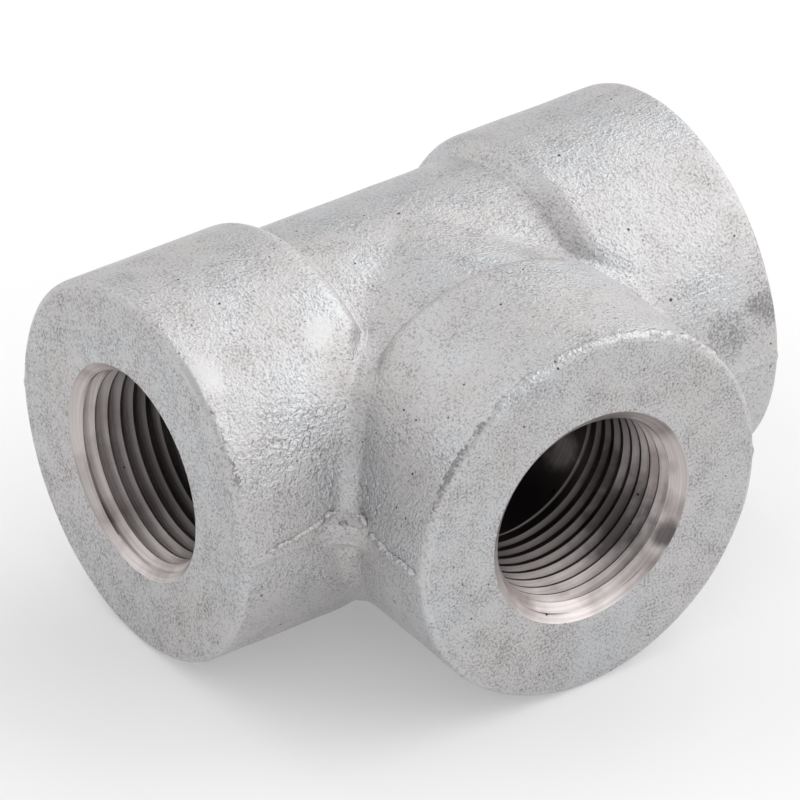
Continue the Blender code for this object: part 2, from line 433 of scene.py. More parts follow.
@dataclass(frozen=True)
class ForgedSkin:
    """The outside of the forging, as a field that is zero on the skin.

    Attributes:
        centre_to_end: from the crossing of the axes to each end face.
        band_radius: outer radius of the bands.
        neck_depth: how far the necks lie below the bands.
        foot_radius: rounding at the foot of each shoulder.
        face_edge_radius: rounding of the bands' outer edges.
        valley_radius: fillet between two bands.
        neck_valley_radius: fillet between two necks.
        neck_valley_from: height above the mid-plane where the neck's fillet starts to take over.
        neck_valley_to: height where it has taken over.
        flash_height: how far the flash line stands out.
        flash_half_width: half the width of the flash line at its foot.
        web_radius: fillet of the web that the flash leaves in the valleys.
        web_half_height: half the height of that web's flat front.
        web_edge: how soon the web falls away above and below it.
        bisections: how many times a ray is halved to find the skin.
    """

    centre_to_end: float
    band_radius: float
    neck_depth: float = 2.08 * MM
    foot_radius: float = 0.7 * MM
    face_edge_radius: float = 0.9 * MM
    valley_radius: float = 2.2 * MM
    neck_valley_radius: float = 5.3 * MM
    neck_valley_from: float = 13.0 * MM
    neck_valley_to: float = 18.0 * MM
    flash_height: float = 0.25 * MM
    flash_half_width: float = 0.9 * MM
    web_radius: float = 4.6 * MM
    web_half_height: float = 1.2 * MM
    web_edge: float = 1.2 * MM
    bisections: int = 26

    @property
    def neck_radius(self) -> float:
        """Outer radius of the necks."""
        return self.band_radius - self.neck_depth

    def arm_radius(self, distance: Array, arm: ArmShape) -> Array:
        """Outer radius of an arm: its neck, shoulder and band, and the rounding of its edge.

        Args:
            distance: distances from the crossing of the axes.
            arm: the arm.

        Returns:
            The radius at each distance.
        """
        band_start = self.centre_to_end - arm.band_length
        rounding = arm.shoulder_radius + self.foot_radius
        bend = math.acos(max(1.0 - self.neck_depth / rounding, 0.0))
        knee = band_start - arm.shoulder_radius * math.sin(bend)
        foot = knee - self.foot_radius * math.sin(bend)
        past_edge = distance - self.centre_to_end + self.face_edge_radius
        band = self.band_radius - arc_drop(self.face_edge_radius, past_edge)
        shoulder = self.band_radius - arc_drop(arm.shoulder_radius, band_start - distance)
        neck = self.neck_radius + arc_drop(self.foot_radius, distance - foot)
        return np.where(distance > band_start, band, np.where(distance > knee, shoulder, neck))

    def gap(self, reach: Array, distance: Array, arm: ArmShape) -> Array:
        """How far points stand off the skin of one arm, as if the arm stood alone.

        Args:
            reach: how far they are from the arm's axis.
            distance: how far along it they are from the crossing of the axes.
            arm: the arm.

        Returns:
            The gap at each point, below zero in the steel.
        """
        return reach - self.arm_radius(distance, arm)

    def fillet(self, height: Array) -> Array:
        """Radius of the fillet in the valleys.

        Args:
            height: heights above the mid-plane, or below it.

        Returns:
            The radius at each height.
        """
        height = np.abs(height)
        necks = smooth_step(height, self.neck_valley_from, self.neck_valley_to)
        plain = self.valley_radius + (self.neck_valley_radius - self.valley_radius) * necks
        web_end = self.web_half_height + self.web_edge
        web = 1.0 - smooth_step(height, self.web_half_height, web_end)
        return plain + (self.web_radius - self.valley_radius) * web

    def level(self, points: Array, arms: Arms) -> Array:
        """Below zero in the steel and above it outside.

        Args:
            points: places from the crossing of the axes, any number of them.
            arms: the run's two arms by side, and the branch under None.

        Returns:
            The field at each point.
        """
        x, y, z = points[..., 0], points[..., 1], points[..., 2]
        flash = self.flash_height * np.maximum(1.0 - np.abs(z) / self.flash_half_width, 0.0)
        run_reach, branch_reach = np.hypot(y, z), np.hypot(x, z)
        left_gap = self.gap(run_reach - flash, np.abs(x), arms[Side.LEFT])
        right_gap = self.gap(run_reach - flash, np.abs(x), arms[Side.RIGHT])
        run = np.where(x < 0.0, left_gap, right_gap)
        branch = self.gap(branch_reach - flash, np.abs(y), arms[None])
        alike = z**2 / np.maximum(run_reach * branch_reach, MERGE**2)
        fillet = self.fillet(z) * (1.0 - alike)
        both = np.maximum(fillet, np.minimum(run, branch))
        both = both - np.hypot(np.maximum(fillet - run, 0.0), np.maximum(fillet - branch, 0.0))
        return np.where(y < 0.0, both, run)

    def meet(self, origins: Array, directions: Array, highest: Array, arms: Arms) -> Array:
        """Finds where rays from inside the steel meet its skin, by halving.

        Args:
            origins: where each ray starts.
            directions: the way each ray goes.
            highest: the furthest that each ray may reach.
            arms: the arms, as level takes them.

        Returns:
            The points on the skin.
        """
        low = np.zeros(highest.shape)
        high = highest.copy()
        for _ in range(self.bisections):
            middle = (low + high) / 2.0
            inside = self.level(origins + middle[..., None] * directions, arms) < 0.0
            low = np.where(inside, middle, low)
            high = np.where(inside, high, middle)
        return origins + high[..., None] * directions


def speckle(tree: Tree, in_mm: Socket, cell_mm: float, largest: float, missing: float) -> Socket:
    """Scatters small round specks of different sizes over a surface.

    Args:
        tree: the material's tree.
        in_mm: the place on the surface, in millimetres.
        cell_mm: distance between specks.
        largest: radius of the largest speck, as a share of that distance.
        missing: the share of cells that have none.

    Returns:
        One inside a speck and zero outside.
    """
    colour = add_node(tree, "TexVoronoi", {"Vector": in_mm, "Scale": 1.0 / cell_mm}, "Color")
    chance = add_node(tree, "SeparateColor", {"Color": colour})
    size = add_node(tree, "MapRange", {"Value": chance, "From Min": missing, "To Max": largest})
    away = colour.node.outputs["Distance"]
    inside = add_node(tree, "Math", {0: size, 1: away}, operation="SUBTRACT")
    return add_node(tree, "MapRange", {"Value": inside, "From Max": 0.3 * largest})


@dataclass(frozen=True)
class CoatSpot:
    """A place where the surface differs from what is round it.

    Attributes:
        place_mm: its middle, in millimetres in the frame.
        radius_mm: how far it reaches.
    """

    place_mm: tuple[float, float, float]
    radius_mm: float


def spot_mask(tree: Tree, in_mm: Socket, spots: tuple[CoatSpot, ...]) -> Socket:
    """Joins soft, ragged spots into one mask.

    Args:
        tree: the material's tree.
        in_mm: the place on the surface, in millimetres.
        spots: the spots.

    Returns:
        One in the middle of a spot and zero outside.
    """
    add = partial(add_node, tree)
    ragged = add("TexNoise", {"Vector": in_mm, "Scale": 0.4, "Detail": 2.0})
    mask = add("Value")
    for spot in spots:
        reach = spot.radius_mm
        away = add("VectorMath", {0: in_mm, 1: spot.place_mm}, "Value", operation="DISTANCE")
        torn = add("Math", {0: ragged, 1: reach, 2: away}, operation="MULTIPLY_ADD")
        # The noise is about a half, so a spot is full to 0.3 of its reach and gone at the end.
        faded = {"Value": torn, "From Min": 1.5 * reach, "From Max": 0.8 * reach}
        inside = add("MapRange", faded, interpolation_type="SMOOTHSTEP")
        mask = add("Math", {0: mask, 1: inside}, operation="MAXIMUM")
    return mask


@dataclass(frozen=True)
class GalvanisedSteel:
    """Hot-dip galvanised forged steel.

    Zinc freezes in a thin uneven coat: a satin grey metal with an orange-peel ripple, patches
    that are smoother and brighter, a salt-and-pepper grain and small dark pits where the scale
    showed through. In the given smooth spots the ash is left out, a painted highlight. The grain
    is drawn about twice as coarse as it is, so that it shows from a step away.

    Attributes:
        name: the material's name.
        warm: colour of the coat where it is thick.
        cool: colour where it is thin and bright.
        ash: colour of the dull grey ash between the bright grains.
        pit: colour inside the pits.
        rust: colour of the few rust specks.
        roughness: the coat's middle roughness.
        peel_mm: width of one ripple.
        peel_height_mm: height of the ripples.
        grain_mm: width of the fine grain on the ripples.
        grain_height_mm: height of the grain.
        ash_share: how much of the surface the ash covers.
        pit_cell_mm: distance between pits.
        pit_depth_mm: depth of the pits.
        rust_cell_mm: distance between rust specks.
        patch_mm: width of the smooth and rough patches.
        cloud_mm: width of the patches with more or less ash.
        metallic: how much of the coat is bare metal, and not ash.
        rippled: spots with a strong ripple.
        smooth_highlit: spots where the coat is smooth, and lighter as a painted highlight.
        dull: spots with a lot of ash.
    """

    name: str
    warm: str = "#CECBCB"
    cool: str = "#CACBCD"
    ash: str = "#8A8788"
    pit: str = "#5E5856"
    rust: str = "#9C6F50"
    roughness: float = 0.48
    peel_mm: float = 0.7
    peel_height_mm: float = 0.3
    grain_mm: float = 0.3
    grain_height_mm: float = 0.1
    ash_share: float = 0.26
    pit_cell_mm: float = 1.6
    pit_depth_mm: float = 0.05
    rust_cell_mm: float = 7.0
    patch_mm: float = 9.0
    cloud_mm: float = 3.5
    metallic: float = 0.92
    rippled: tuple[CoatSpot, ...] = ()
    smooth_highlit: tuple[CoatSpot, ...] = ()
    dull: tuple[CoatSpot, ...] = ()

    def build(self) -> bpy.types.Material:
        """Builds the finish.

        Returns:
            The material.
        """
        material, tree, in_mm = start_material(self.name)
        add = partial(add_node, tree)
        patch, cloud = (
            add("TexNoise", {"Vector": in_mm, "Scale": 1.0 / width, "Detail": 3.0})
            for width in (self.patch_mm, self.cloud_mm)
        )
        grain = add("TexNoise", {"Vector": in_mm, "Scale": 1.0 / self.grain_mm, "Detail": 2.0})
        peeled = {"Vector": in_mm, "Scale": 1.0 / self.peel_mm, "Detail": 1.0, "Distortion": 0.8}
        peel = add("TexNoise", peeled)
        pits = speckle(tree, in_mm, self.pit_cell_mm, largest=0.15, missing=0.5)
        rust = speckle(tree, in_mm, self.rust_cell_mm, largest=0.04, missing=0.6)
        rippled, smooth_highlit, dull = (
            spot_mask(tree, in_mm, spots) for spots in (self.rippled, self.smooth_highlit, self.dull)
        )
        # The ash lies where the grain is high, more of it in clouds and in the dull spots.
        clouded = add("Math", {0: cloud, 1: 0.35, 2: grain}, operation="MULTIPLY_ADD")
        shown = add("Math", {0: dull, 1: 0.2, 2: clouded}, operation="MULTIPLY_ADD")
        bare = 0.75 - 0.3 * self.ash_share
        ashy = {"Value": shown, "From Min": bare, "From Max": bare + 0.3, "To Max": 0.9}
        ashes = add("MapRange", ashy)
        clamped = {"operation": "MULTIPLY_ADD", "use_clamp": True}
        # In the smooth spots most of the ash is left out, which paints a highlight there.
        outside_highlights = add("Math", {0: smooth_highlit, 1: -0.8, 2: 1.0}, **clamped)
        covered = add("Math", {0: ashes, 1: outside_highlights}, operation="MULTIPLY")
        thin = add("MapRange", {"Value": patch, "From Min": 0.35, "From Max": 0.65})
        colour = linear(self.warm)
        layers = ((thin, self.cool), (covered, self.ash), (pits, self.pit), (rust, self.rust))
        for cover, tone in layers:
            mixing = {"Factor": cover, MIX_A: colour, MIX_B: linear(tone)}
            colour = add("Mix", mixing, MIXED, data_type="RGBA")
        dullest = {"From Min": 0.3, "To Min": self.roughness + 0.08}
        brightest = {"From Max": 0.7, "To Max": self.roughness - 0.08}
        even = add("MapRange", {"Value": patch, **dullest, **brightest})
        shine = add("Math", {0: smooth_highlit, 1: -0.1, 2: even}, operation="MULTIPLY_ADD")
        # The ripple is weak where the coat is thick, and strong in the rippled spots.
        weakest = {"From Min": 0.35, "To Min": 0.3}
        strongest = {"From Max": 0.65, "To Max": 0.55}
        calm = add("MapRange", {"Value": patch, **weakest, **strongest})
        wavy = add("Math", {0: rippled, 1: 0.5, 2: calm}, operation="MULTIPLY_ADD")
        strength = add("Math", {0: smooth_highlit, 1: -0.5, 2: wavy}, **clamped)
        ripples = {"Strength": strength, "Distance": self.peel_height_mm * MM, "Height": peel}
        grains = {"Strength": outside_highlights, "Distance": self.grain_height_mm * MM, "Height": grain}
        dents = {"Strength": 1.0, "Distance": self.pit_depth_mm * MM, "Height": pits}
        normal = add("Bump", ripples)
        normal = add("Bump", {**grains, "Normal": normal})
        normal = add("Bump", {**dents, "Normal": normal}, invert=True)
        finish_material(tree, self.metallic, colour, shine, normal)
        return material


@dataclass(frozen=True)
class MachinedSteel:
    """Bare carbon steel, bored and threaded after galvanising.

    The tool leaves fine rings round the bore, and the bare steel has a warm, faintly pink grey
    with a few dark chips stuck in the cutting oil. Deeper in, and in a few given spots, painted
    shade darkens the colour. The rings are drawn about three feeds apart, so that they show.

    Attributes:
        name: the material's name.
        axis: number of the bore's axis, 0 for X and 1 for Y.
        middle_mm: where the bores meet, in millimetres in the frame.
        bright: colour of the freshly cut steel.
        stained: colour where cutting oil has darkened it.
        shaded_depth_tone: colour of the painted shade deep inside the bore.
        chip_and_shade: colour of the chips, and of the painted shade in the shaded spots.
        shade_from_mm: how far from where the bores meet the painted shade begins.
        shade_to_mm: how far from there it is at its darkest.
        shaded_spots: spots of painted shade.
        unshaded_spots: spots deep inside that the painted shade leaves out.
        roughness: middle roughness.
        metallic: how much of it is bare metal, and not oil.
        stain_mm: width of the stains.
        ring_mm: distance between turning rings.
        ring_height_mm: depth of the rings.
        ring_length_mm: how far one stays the same on its way round the bore.
        chip_cell_mm: distance between chips.
    """

    name: str
    axis: int
    middle_mm: tuple[float, float, float]
    bright: str = "#D9D1D0"
    stained: str = "#A79C9A"
    shaded_depth_tone: str = "#696362"
    chip_and_shade: str = "#2A2422"
    shade_from_mm: float = 38.5
    shade_to_mm: float = 27.0
    shaded_spots: tuple[CoatSpot, ...] = ()
    unshaded_spots: tuple[CoatSpot, ...] = ()
    roughness: float = 0.42
    metallic: float = 0.95
    stain_mm: float = 6.0
    ring_mm: float = 0.2
    ring_height_mm: float = 0.012
    ring_length_mm: float = 20.0
    chip_cell_mm: float = 1.9

    def build(self) -> bpy.types.Material:
        """Builds the finish.

        Returns:
            The material.
        """
        material, tree, in_mm = start_material(self.name)
        add = partial(add_node, tree)
        scales = [1.0 / self.ring_length_mm] * 3
        scales[self.axis] = 1.0 / self.ring_mm
        stretched = add("VectorMath", {0: in_mm, 1: scales}, operation="MULTIPLY")
        rings = add("TexNoise", {"Vector": stretched, "Scale": 1.0, "Detail": 2.0})
        stains = add("TexNoise", {"Vector": in_mm, "Scale": 1.0 / self.stain_mm, "Detail": 4.0})
        chips = speckle(tree, in_mm, self.chip_cell_mm, largest=0.14, missing=0.72)
        stained = add("MapRange", {"Value": stains, "From Min": 0.45, "From Max": 0.7})
        tinted = {"Factor": stained, MIX_A: linear(self.bright), MIX_B: linear(self.stained)}
        tint = add("Mix", tinted, MIXED, data_type="RGBA")
        ringed = {"Value": rings, "From Min": 0.35, "From Max": 0.65, "To Min": 0.72}
        lined = {"Factor": 1.0, MIX_A: tint, MIX_B: add("MapRange", ringed)}
        colour = add("Mix", lined, MIXED, data_type="RGBA", blend_type="MULTIPLY")
        # Painted shade: the colour darkens deeper in the bore, towards where the bores meet.
        away = add("VectorMath", {0: in_mm, 1: self.middle_mm}, "Value", operation="DISTANCE")
        sunk = {"Value": away, "From Min": self.shade_from_mm, "From Max": self.shade_to_mm}
        deep = add("MapRange", sunk)
        unshaded_spots = spot_mask(tree, in_mm, self.unshaded_spots)
        left = add("Math", {0: unshaded_spots, 1: -0.9, 2: 1.0}, operation="MULTIPLY_ADD")
        painted_shade = add("Math", {0: deep, 1: left}, operation="MULTIPLY")
        # Painted shade in the shaded spots, and the real chips, both take the dark chip colour.
        spot_shade = add("Math", {0: spot_mask(tree, in_mm, self.shaded_spots), 1: 0.75}, operation="MULTIPLY")
        chips_and_shade = add("Math", {0: chips, 1: spot_shade}, operation="MAXIMUM")
        for cover, tone in ((painted_shade, self.shaded_depth_tone), (chips_and_shade, self.chip_and_shade)):
            mixing = {"Factor": cover, MIX_A: colour, MIX_B: linear(tone)}
            colour = add("Mix", mixing, MIXED, data_type="RGBA")
        low, high = self.roughness - 0.08, self.roughness + 0.08
        shine = add("MapRange", {"Value": rings, "To Min": low, "To Max": high})
        depth = self.ring_height_mm * MM
        normal = add("Bump", {"Strength": 1.0, "Distance": depth, "Height": rings})
        finish_material(tree, self.metallic, colour, shine, normal)
        return material


@dataclass(frozen=True)
class ZincBead:
    """A lumpy thread of zinc that gathered along an edge and froze there.

    Attributes:
        name: the bead's name.
        path: places that it runs through, from the crossing of the axes.
        width: how wide it is.
        shaded_dross: whether it is dull grey dross, darker partly as painted shade, and not bright
            zinc.
        lumps: how much the width varies, as a share of it.
        lump_length: distance between lumps.
        grit: how rough its surface is, as a share of the width.
        grit_length: distance between the bumps on it.
        step: distance between its rings.
        sides: points round it.
    """

    name: str
    path: Array
    width: float
    shaded_dross: bool = False
    lumps: float = 0.8
    lump_length: float = 1.3 * MM
    grit: float = 0.4
    grit_length: float = 0.32 * MM
    step: float = 0.11 * MM
    sides: int = 14

    def build(self, crossing: Vector, low: Vector, high: Vector) -> Object:
        """Builds the bead as a closed tube that is half sunk in the skin.

        Args:
            crossing: where the axes of the tee cross.
            low: the lowest place that it may reach.
            high: the highest place that it may reach.

        Returns:
            The bead.
        """
        reached = np.cumsum(np.linalg.norm(np.diff(self.path, axis=0), axis=1))
        reached = np.concatenate([[0.0], reached])
        travelled = np.linspace(0.0, reached[-1], max(int(reached[-1] / self.step), 8))
        middles = np.stack(
            [np.interp(travelled, reached, self.path[:, axis]) for axis in range(3)], axis=1
        )
        half_width = 0.5 * self.width
        mesh = bmesh.new()
        rings = []
        for middle, way, gone in zip(middles, np.gradient(middles, axis=0), travelled):
            across = np.cross(way, middle)
            across /= np.linalg.norm(across)
            out = np.cross(across, way / np.linalg.norm(way))
            end = min(gone, reached[-1] - gone) / self.width
            lump = noise.noise(Vector(middle) / self.lump_length)
            swell = (1.0 + self.lumps * lump) * min(math.sqrt(max(end, 0.01)), 1.0)
            ring = []
            for side in range(self.sides):
                turn = 2.0 * math.pi * side / self.sides
                way_out = math.cos(turn) * out + math.sin(turn) * across
                rough = noise.noise(Vector(middle + half_width * way_out) / self.grit_length)
                reach = half_width * max(swell + self.grit * rough, 0.1)
                place = crossing + Vector(middle + reach * way_out)
                kept = [min(max(place[i], low[i]), high[i]) for i in range(3)]
                ring.append(mesh.verts.new(kept))
            rings.append(ring)
        for near, far in zip(rings[:-1], rings[1:]):
            for side in range(self.sides):
                after = (side + 1) % self.sides
                mesh.faces.new((near[side], near[after], far[after], far[side]))
        mesh.faces.new(rings[0])
        mesh.faces.new(rings[-1])
        bmesh.ops.recalc_face_normals(mesh, faces=mesh.faces)
        bead = finish_mesh(self.name, mesh)
        bead.data.shade_smooth()
        return bead


@dataclass
class TeeBody:
    """The tee, one forging with three bored and threaded ends.

    Attributes:
        low: lowest corner of the CAD node.
        high: highest corner of the CAD node.
        front_rails: rails between the web and the crown, on each side of it.
        back_rails: rails from the flash line to the crown at the back.
        face_rings: rings across each end face, outside the bore's mouth.
        stations: points round an end face's edge, along a band, and from the band in.
        dense: points on a stretch before it is thinned.
        bend_worth: the length that a radian of bend counts as.
        face_start: radius of the innermost ring of an end face.
        wave_length: distance between the shallow hollows in the forged skin.
        wave_depth: depth of the deepest of them.
        crease_corner: where the shoulders' creases meet the valley, from the axes' crossing.
        corner_reach: how far round it the skin is rounded.
        corner_passes: how often.
        sharp_degrees: an edge that bends by more than this is drawn sharp.
        skin: the outside of the forging.
        arms: its arms.
    """

    low: Vector
    high: Vector
    front_rails: int = 54
    back_rails: int = 44
    face_rings: int = 9
    stations: tuple[int, int, int] = (9, 20, 48)
    dense: int = 240
    bend_worth: float = 2.0 * MM
    face_start: float = 14.2 * MM
    wave_length: float = 6.5 * MM
    wave_depth: float = 0.11 * MM
    crease_corner: tuple[float, float, float] = (16.4 * MM, -16.4 * MM, 16.8 * MM)
    corner_reach: float = 4.0 * MM
    corner_passes: int = 40
    sharp_degrees: float = 32.0
    skin: ForgedSkin = field(init=False)
    arms: Arms = field(init=False)

    def __post_init__(self) -> None:
        """Works out the forging's driving sizes from the CAD node."""
        self.skin = ForgedSkin(
            centre_to_end=(self.high.x - self.low.x) / 2.0,
            band_radius=(self.high.z - self.low.z) / 2.0,
        )
        left_bore = ThreadedBore(mouth_radius=13.4 * MM, first_turn=0.25)
        bore = ThreadedBore()
        self.arms = {
            Side.LEFT: ArmShape((-1.0, 0.0, 0.0), 20.7 * MM, 3.0 * MM, left_bore, Surface.RUN_BORE),
            Side.RIGHT: ArmShape((1.0, 0.0, 0.0), 20.0 * MM, 4.0 * MM, bore, Surface.RUN_BORE),
            None: ArmShape((0.0, -1.0, 0.0), 19.2 * MM, 2.4 * MM, bore, Surface.BRANCH_BORE),
        }

    @property
    def crossing(self) -> Vector:
        """Where the axes of the run and of the branch cross."""
        middle = (self.low + self.high) / 2.0
        return Vector((middle.x, self.low.y + self.skin.centre_to_end, middle.z))

    def rail_angles(self, count: int, heights: tuple[float, ...]) -> Array:
        """Angles of the rails up one side, close together across the flash line.

        Args:
            count: rails from the last of the heights to the crown.
            heights: heights above the mid-plane of the rails near the flash line.

        Returns:
            The angles from the bottom to the top.
        """
        close = np.arcsin(np.array(heights) * MM / self.skin.band_radius)
        upper = np.concatenate([close, np.linspace(close[-1], math.pi / 2.0, count)[1:]])
        return np.concatenate([-upper[:0:-1], upper])

    def valleys(self, angles: Array, side: Side) -> Array:
        """How far from the centre each rail meets the valley beside the branch.

        Args:
            angles: the rails' angles.
            side: the end of the run.

        Returns:
            The distances, zero at the crown.
        """
        level = np.cos(angles)
        rays = np.stack([side.value * level, -level, np.sin(angles)], axis=1)
        highest = np.full(len(angles), 2.0 * self.skin.band_radius)
        meets = self.skin.meet(np.zeros((len(angles), 3)), rays, highest, self.arms)
        return np.where(level > MERGE, np.abs(meets[:, 0]), 0.0)

    def rails(self, arm: ArmShape, away: Array, valleys: Array, levels: Array) -> list[Array]:
        """Rails of one arm, from its end face in to the valley or to the middle of the tee.

        Args:
            arm: the arm.
            away: each rail's way out from the arm's axis.
            valleys: how far from the centre each rail ends.
            levels: what share of a rail's reach goes towards the mitre with the next arm.

        Returns:
            One line of points to each rail.
        """
        skin = self.skin
        along = np.array(arm.outward)
        edge_end = skin.centre_to_end - skin.face_edge_radius
        band_start = skin.centre_to_end - arm.band_length
        widest = max(skin.valley_radius, skin.web_radius)
        band_ends = np.maximum(band_start, valleys + widest)
        turns = np.linspace(math.pi / 2.0, 0.0, self.dense)
        rounding = edge_end + skin.face_edge_radius * np.sin(turns)
        shares = np.linspace(0.0, 1.0, self.dense)
        edges = np.broadcast_to(rounding, (len(away), self.dense))
        bands = edge_end + (band_ends[:, None] - edge_end) * shares
        inners = band_ends[:, None] + (valleys - band_ends)[:, None] * shares
        parts: list[list[Array]] = [[] for _ in away]
        for distances, count in zip((edges, bands, inners), self.stations):
            highest = np.full(distances.shape, 2.0 * skin.band_radius)
            mitred = levels > MERGE
            mitre = distances[mitred] / levels[mitred][:, None]
            highest[mitred] = np.minimum(highest[mitred], mitre)
            directions = np.broadcast_to(away[:, None, :], (*distances.shape, 3))
            points = skin.meet(distances[..., None] * along, directions, highest, self.arms)
            for part, line in zip(parts, points):
                part.append(thin_out(line, count, self.bend_worth))
        lines = []
        for part, way in zip(parts, away):
            rim = float(np.dot(part[0][0], way))
            reaches = np.linspace(self.face_start, rim, self.face_rings)[:-1]
            face = skin.centre_to_end * along + reaches[:, None] * way
            lines.append(np.concatenate([face, part[0], part[1][1:], part[2][1:]]))
        return lines

    def add_skin(self, mesh: Mesh) -> None:
        """Lofts the outside of the forging and its end faces through rails.

        Args:
            mesh: the mesh that gets them.
        """
        flash_heights = (0.0, 0.3, 0.6, 0.9, 1.2, 1.6, 2.0, 2.4, 2.9)
        front = self.rail_angles(self.front_rails, flash_heights)
        back = self.rail_angles(self.back_rails, flash_heights[:5])
        for side in Side:
            level, height = np.cos(front), np.sin(front)
            none = np.zeros(len(front))
            valleys = self.valleys(front, side)
            run_away = np.stack([none, -level, height], axis=1)
            branch_away = np.stack([side.value * level, none, height], axis=1)
            run = self.rails(self.arms[side], run_away, valleys, level)
            branch = self.rails(self.arms[None], branch_away, valleys, level)
            lines = [np.concatenate([a, b[-2::-1]]) for a, b in zip(run, branch)]
            add_sheet(mesh, lines, Surface.SKIN)
            none = np.zeros(len(back))
            away = np.stack([none, np.cos(back), np.sin(back)], axis=1)
            add_sheet(mesh, self.rails(self.arms[side], away, none, none), Surface.SKIN)
        bmesh.ops.remove_doubles(mesh, verts=mesh.verts, dist=MERGE)

    def join_faces(self, mesh: Mesh) -> None:
        """Fills each end face between its rings and the mouth of its bore.

        Args:
            mesh: the mesh, with its skin and its bores.
        """
        for arm in self.arms.values():
            outward = Vector(arm.outward)
            limit = self.skin.centre_to_end - MERGE
            rims = [edge for edge in mesh.edges if edge.is_boundary]
            edges = [rim for rim in rims if all(v.co.dot(outward) > limit for v in rim.verts)]
            filled = bmesh.ops.triangle_fill(mesh, edges=edges, use_beauty=True, normal=outward)
            for item in filled["geom"]:
                if isinstance(item, bmesh.types.BMFace):
                    item.material_index = Surface.END_FACE.value

    def soften(self, mesh: Mesh) -> None:
        """Rounds the four corners where the shoulders' creases run into the valleys.

        Args:
            mesh: the outside of the tee.
        """
        corner = Vector(self.crease_corner)
        near = []
        for vertex in mesh.verts:
            folded = Vector((abs(vertex.co.x), vertex.co.y, abs(vertex.co.z)))
            if (folded - corner).length < self.corner_reach:
                near.append(vertex)
        axes = {"use_axis_x": True, "use_axis_y": True, "use_axis_z": True}
        for _ in range(self.corner_passes):
            bmesh.ops.smooth_vert(mesh, verts=near, factor=0.5, **axes)

    def weather(self, mesh: Mesh) -> None:
        """Sinks the forged skin unevenly by a few hundredths of a millimetre.

        Args:
            mesh: the outside of the tee, its end faces among it.
        """
        bmesh.ops.recalc_face_normals(mesh, faces=mesh.faces)
        mesh.normal_update()
        top = max(mesh.verts, key=lambda vertex: vertex.co.z)
        inward = -math.copysign(self.wave_depth, top.normal.z)
        for vertex in mesh.verts:
            if any(face.material_index != Surface.SKIN.value for face in vertex.link_faces):
                continue
            # A slow wave, and a quicker one a quarter as high. It only ever sinks.
            place = vertex.co / self.wave_length
            wave = 0.5 - 0.5 * noise.noise(place) + 0.25 * noise.noise(2.3 * place)
            vertex.co += inward * max(wave, 0.0) * vertex.normal

    def build(self) -> Object:
        """Builds the tee's mesh in its place.

        Returns:
            The tee, one closed mesh.
        """
        mesh = bmesh.new()
        self.add_skin(mesh)
        limit = self.skin.centre_to_end - MERGE
        outwards = [Vector(arm.outward) for arm in self.arms.values()]
        for face in mesh.faces:
            if any(all(v.co.dot(way) > limit for v in face.verts) for way in outwards):
                face.material_index = Surface.END_FACE.value
        self.soften(mesh)
        self.weather(mesh)
        for arm in self.arms.values():
            both_sides = arm.bore_finish is Surface.BRANCH_BORE
            lines = arm.bore.lines(np.array(arm.outward), self.skin.centre_to_end, both_sides)
            add_sheet(mesh, lines, arm.bore_finish)
        bmesh.ops.remove_doubles(mesh, verts=mesh.verts, dist=MERGE)
        self.join_faces(mesh)
        bmesh.ops.recalc_face_normals(mesh, faces=mesh.faces)
        bmesh.ops.translate(mesh, verts=mesh.verts, vec=self.crossing)
        for vertex in mesh.verts:
            for axis in range(3):
                vertex.co[axis] = min(max(vertex.co[axis], self.low[axis]), self.high[axis])
        loose = [edge for edge in mesh.edges if not edge.is_manifold]
        log.info("mesh: %d faces, %d loose edges", len(mesh.faces), len(loose))
        tee = finish_mesh("threaded_tee", mesh)
        tee.data.shade_smooth()
        tee.data.set_sharp_from_angle(angle=math.radians(self.sharp_degrees))
        return tee

    def edge(self, arm: ArmShape, start: float, end: float) -> Array:
        """Places along the rounded edge of an end face.

        Args:
            arm: the arm that the face is on.
            start: where to begin, in degrees from the face's right-hand side towards the top.
            end: where to stop.

        Returns:
            The places, one row to each.
        """
        outward = np.array(arm.outward)
        across = np.cross(UP, outward)
        angles = np.radians(np.linspace(start, end, 40))[:, None]
        away = np.cos(angles) * across + np.sin(angles) * UP
        # About the middle of the edge's rounding.
        reach = self.skin.band_radius - 0.55 * self.skin.face_edge_radius
        back = self.skin.centre_to_end - self.skin.face_edge_radius
        return back * outward + reach * away

    def beads(self) -> list[ZincBead]:
        """The beads of zinc along the end faces' edges, the flash line and the web.

        Returns:
            The beads.
        """
        left, branch = self.arms[Side.LEFT], self.arms[None]
        # Each has its places, in millimetres from the axes' crossing, and its width.
        runs = {
            "flash_left": (((-35.0, -23.4, 0.9), (-32, -23.5, 1.2), (-26.8, -23.3, 2.3)), 0.65),
            "web_left": (((-27.0, -23.2, 2.3), (-26.4, -23.4, 2.9), (-25.6, -23.9, 3.0)), 1.0),
            "web_right": (((-24.1, -25.4, 3.1), (-23.6, -26.0, 2.7), (-23.4, -26.8, 1.9)), 1.1),
            "web_middle": (((-25.4, -24.1, 1.7), (-24.7, -24.8, 1.4)), 0.8),
            "flash_branch": (((-23.4, -27, 1.2), (-23.5, -31, 0.7), (-23.5, -36.4, 0.8)), 0.75),
            "flash_right": (((24.3, -23.4, 1.5), (25.7, -23.5, 1.9), (27.2, -23.4, 1.8)), 0.6),
        }
        beads = [
            ZincBead("bead_branch_top", self.edge(branch, 126.0, 39.0), 1.15 * MM, lumps=0.5),
            # The dross beads are dull grey dross, their darker colour partly painted shade along
            # the face edges.
            ZincBead("shaded_dross_branch", self.edge(branch, 163.0, 121.0), 1.0 * MM, True, 0.4),
            ZincBead("shaded_dross_left_top", self.edge(left, 68.0, 22.0), 0.8 * MM, True, 0.5),
            ZincBead("bead_left_low", self.edge(left, 24.0, -32.0), 0.7 * MM),
        ]
        for name, (path, width) in runs.items():
            beads.append(ZincBead(f"bead_{name}", np.array(path) * MM, width * MM))
        return beads

